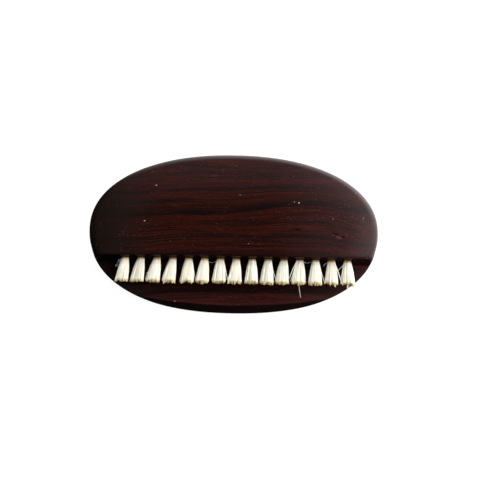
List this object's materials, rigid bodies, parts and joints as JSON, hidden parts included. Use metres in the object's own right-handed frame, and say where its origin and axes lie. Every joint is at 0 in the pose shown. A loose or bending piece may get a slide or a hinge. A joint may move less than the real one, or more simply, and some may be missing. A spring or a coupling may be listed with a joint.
{
  "type": "beard brush",
  "caption": "Palm-sized oval wooden beard brush with a row of flared bristle tufts set in a step of its front, above a guard ledge that shields them from behind.",
  "frame": {"origin": "centre of the flat back face, which is also the middle of the oval", "axes": "+X along the oval's length, +Y in the plane of the oval and away from the bristle tips, +Z out of the front face; with the front face towards the viewer and the bristle tips pointing down, +X is to the right"},
  "size_m": [0.1, 0.0541, 0.02],
  "materials": {
    "block_wood": "satin",
    "guard_wood": "satin",
    "bristle": "satin",
    "anchor_steel": "satin"
  },
  "bodies": {
    "root": {"bristle_block": "block_wood", "guard_plate": "guard_wood", "tuft_01": "bristle", "tuft_02": "bristle", "tuft_03": "bristle", "tuft_04": "bristle", "tuft_05": "bristle", "tuft_06": "bristle", "tuft_07": "bristle", "tuft_08": "bristle", "tuft_09": "bristle", "tuft_10": "bristle", "tuft_11": "bristle", "tuft_12": "bristle", "tuft_13": "bristle", "tuft_14": "bristle", "tuft_15": "bristle", "anchor_01": "anchor_steel", "anchor_02": "anchor_steel", "anchor_03": "anchor_steel", "anchor_04": "anchor_steel", "anchor_05": "anchor_steel", "anchor_06": "anchor_steel", "anchor_07": "anchor_steel", "anchor_08": "anchor_steel", "anchor_09": "anchor_steel", "anchor_10": "anchor_steel", "anchor_11": "anchor_steel", "anchor_12": "anchor_steel", "anchor_13": "anchor_steel", "anchor_14": "anchor_steel", "anchor_15": "anchor_steel"}
  },
  "joints": []
}
